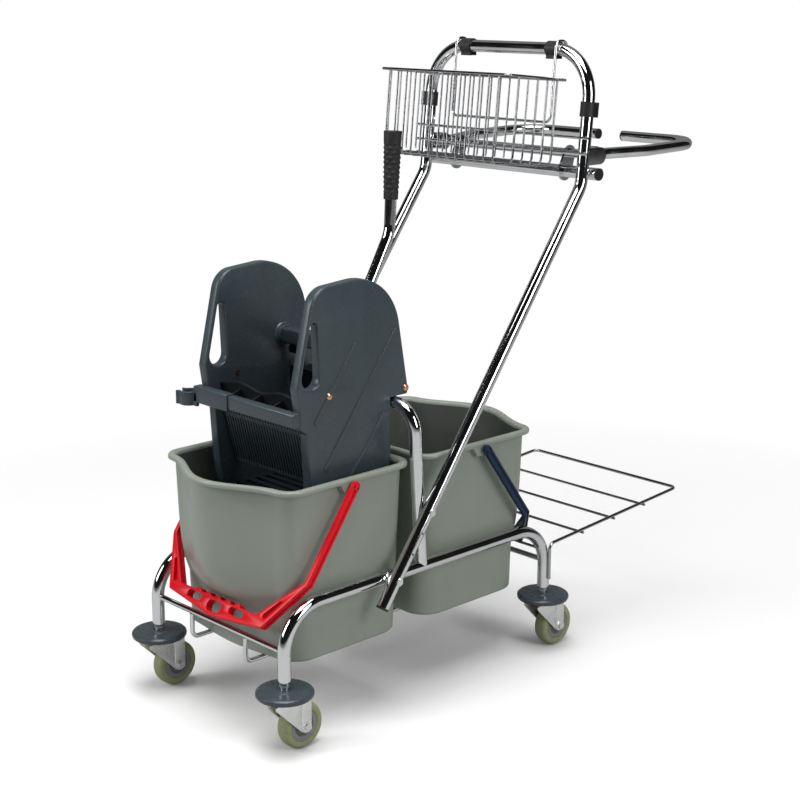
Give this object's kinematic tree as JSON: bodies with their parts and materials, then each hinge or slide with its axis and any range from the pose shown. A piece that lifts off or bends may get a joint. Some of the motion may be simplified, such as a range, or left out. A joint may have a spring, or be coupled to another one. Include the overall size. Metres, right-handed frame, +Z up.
{
  "type": "double mop bucket trolley",
  "caption": "Mop bucket trolley: chromed tube frame on swivel casters with buckets, lever wringer, wire basket, fold-up bag holder and rear tray.",
  "frame": {"origin": "on the floor, under the middle of the whole trolley", "axes": "+Z up, +Y to the rear tray and bag holder, +X to the side of the lever"},
  "size_m": [0.456, 1.0525, 1.1113],
  "materials": {
    "chrome_tube": "bright chromed steel tube and wire",
    "zinc_steel": "zinc plated pressed steel",
    "grey_plastic": "satin moulded warm grey",
    "slate_plastic": "satin moulded slate",
    "black_plastic": "matt black",
    "grip_rubber": "soft ribbed black",
    "red_plastic": "glossy red",
    "navy_plastic": "glossy navy blue",
    "copper_rivet": "bare copper coloured",
    "hub_plastic": "grey moulded",
    "tyre_rubber": "olive grey tread"
  },
  "bodies": {
    "frame": {"side_rail_right": "chrome_tube", "side_rail_left": "chrome_tube", "front_crossbar": "chrome_tube", "rear_crossbar": "chrome_tube", "cradle_wires": "chrome_tube", "wringer_hoop": "chrome_tube", "push_handle": "chrome_tube", "tube_end_caps": "black_plastic", "handle_brackets": "chrome_tube", "handle_bolts": "zinc_steel", "handle_clips": "black_plastic", "tray_frame": "chrome_tube", "tray_cross_wires": "chrome_tube", "bag_crossbar": "chrome_tube", "bag_bracket_plates": "chrome_tube", "bag_hinge_blocks": "chrome_tube", "front_bucket": "grey_plastic", "caster_stems": "zinc_steel", "bumper_discs": "slate_plastic"},
    "bag_frame": {"bag_hinge_bar": "chrome_tube", "bag_arm_right": "chrome_tube", "bag_arm_left": "chrome_tube", "bag_arm_caps": "black_plastic"},
    "basket": {"wire_basket": "chrome_tube", "basket_hanger": "chrome_tube"},
    "front_bail": {"front_bail": "red_plastic"},
    "rear_bucket": {"rear_bucket": "grey_plastic"},
    "rear_bail": {"rear_bail": "navy_plastic"},
    "wringer": {"wringer_plate_right": "slate_plastic", "wringer_plate_left": "slate_plastic", "wringer_front_bar": "slate_plastic", "wringer_grille": "slate_plastic", "front_press_plate": "slate_plastic", "wringer_floor": "slate_plastic", "mop_clip": "slate_plastic", "wringer_pins": "copper_rivet"},
    "press_jaw": {"press_jaw": "slate_plastic"},
    "lever": {"lever_shaft": "zinc_steel", "lever_cranks": "zinc_steel", "crank_rollers": "slate_plastic", "lever_hub": "slate_plastic", "lever_tube": "chrome_tube", "lever_grip": "grip_rubber"},
    "caster_front_right": {"fork_front_right": "zinc_steel", "axle_front_right": "zinc_steel"},
    "wheel_front_right": {"hub_front_right": "hub_plastic", "tyre_front_right": "tyre_rubber"},
    "caster_front_left": {"fork_front_left": "zinc_steel", "axle_front_left": "zinc_steel"},
    "wheel_front_left": {"hub_front_left": "hub_plastic", "tyre_front_left": "tyre_rubber"},
    "caster_rear_right": {"fork_rear_right": "zinc_steel", "axle_rear_right": "zinc_steel"},
    "wheel_rear_right": {"hub_rear_right": "hub_plastic", "tyre_rear_right": "tyre_rubber"},
    "caster_rear_left": {"fork_rear_left": "zinc_steel", "axle_rear_left": "zinc_steel"},
    "wheel_rear_left": {"hub_rear_left": "hub_plastic", "tyre_rear_left": "tyre_rubber"}
  },
  "joints": [
    {"name": "bag_fold", "type": "hinge", "parent": "frame", "child": "bag_frame", "pos_m": [0, 0.23228, 0.913], "axis": [1, 0, 0], "range_deg": [0, 85]},
    {"name": "basket_lift", "type": "slide", "parent": "frame", "child": "basket", "axis": [0, 0, 1], "range_m": [0, 0.25]},
    {"name": "front_bail_swing", "type": "hinge", "parent": "frame", "child": "front_bail", "pos_m": [0, -0.32575, 0.4191], "axis": [-1, 0, 0], "range_deg": [0, 110]},
    {"name": "rear_bucket_lift", "type": "slide", "parent": "frame", "child": "rear_bucket", "axis": [0, 0, 1], "range_m": [0, 0.26]},
    {"name": "rear_bail_swing", "type": "hinge", "parent": "rear_bucket", "child": "rear_bail", "pos_m": [0, -0.01675, 0.4191], "axis": [1, 0, 0], "range_deg": [0, 140]},
    {"name": "wringer_lift", "type": "slide", "parent": "frame", "child": "wringer", "axis": [0, 0, 1], "range_m": [0, 0.25]},
    {"name": "lever_pull", "type": "hinge", "parent": "wringer", "child": "lever", "pos_m": [0, -0.23475, 0.614], "axis": [1, 0, 0], "range_deg": [0, 70]},
    {"name": "jaw_press", "type": "hinge", "parent": "wringer", "child": "press_jaw", "pos_m": [0, -0.16975, 0.548], "axis": [-1, 0, 0], "range_deg": [0, 28]},
    {"name": "caster_swivel_front_right", "type": "hinge", "parent": "frame", "child": "caster_front_right", "pos_m": [0.172, -0.47825, 0.093], "axis": [0, 0, 1], "continuous": true},
    {"name": "wheel_spin_front_right", "type": "hinge", "parent": "caster_front_right", "child": "wheel_front_right", "pos_m": [0.172, -0.44825, 0.04], "axis": [1, 0, 0], "continuous": true},
    {"name": "caster_swivel_front_left", "type": "hinge", "parent": "frame", "child": "caster_front_left", "pos_m": [-0.172, -0.47825, 0.093], "axis": [0, 0, 1], "continuous": true},
    {"name": "wheel_spin_front_left", "type": "hinge", "parent": "caster_front_left", "child": "wheel_front_left", "pos_m": [-0.172, -0.44825, 0.04], "axis": [1, 0, 0], "continuous": true},
    {"name": "caster_swivel_rear_right", "type": "hinge", "parent": "frame", "child": "caster_rear_right", "pos_m": [0.172, 0.14475, 0.093], "axis": [0, 0, 1], "continuous": true},
    {"name": "wheel_spin_rear_right", "type": "hinge", "parent": "caster_rear_right", "child": "wheel_rear_right", "pos_m": [0.172, 0.17475, 0.04], "axis": [1, 0, 0], "continuous": true},
    {"name": "caster_swivel_rear_left", "type": "hinge", "parent": "frame", "child": "caster_rear_left", "pos_m": [-0.172, 0.14475, 0.093], "axis": [0, 0, 1], "continuous": true},
    {"name": "wheel_spin_rear_left", "type": "hinge", "parent": "caster_rear_left", "child": "wheel_rear_left", "pos_m": [-0.172, 0.17475, 0.04], "axis": [1, 0, 0], "continuous": true}
  ],
  "couplings": [
    {"joint": "jaw_press", "follows": "lever_pull", "ratio": 0.4}
  ]
}
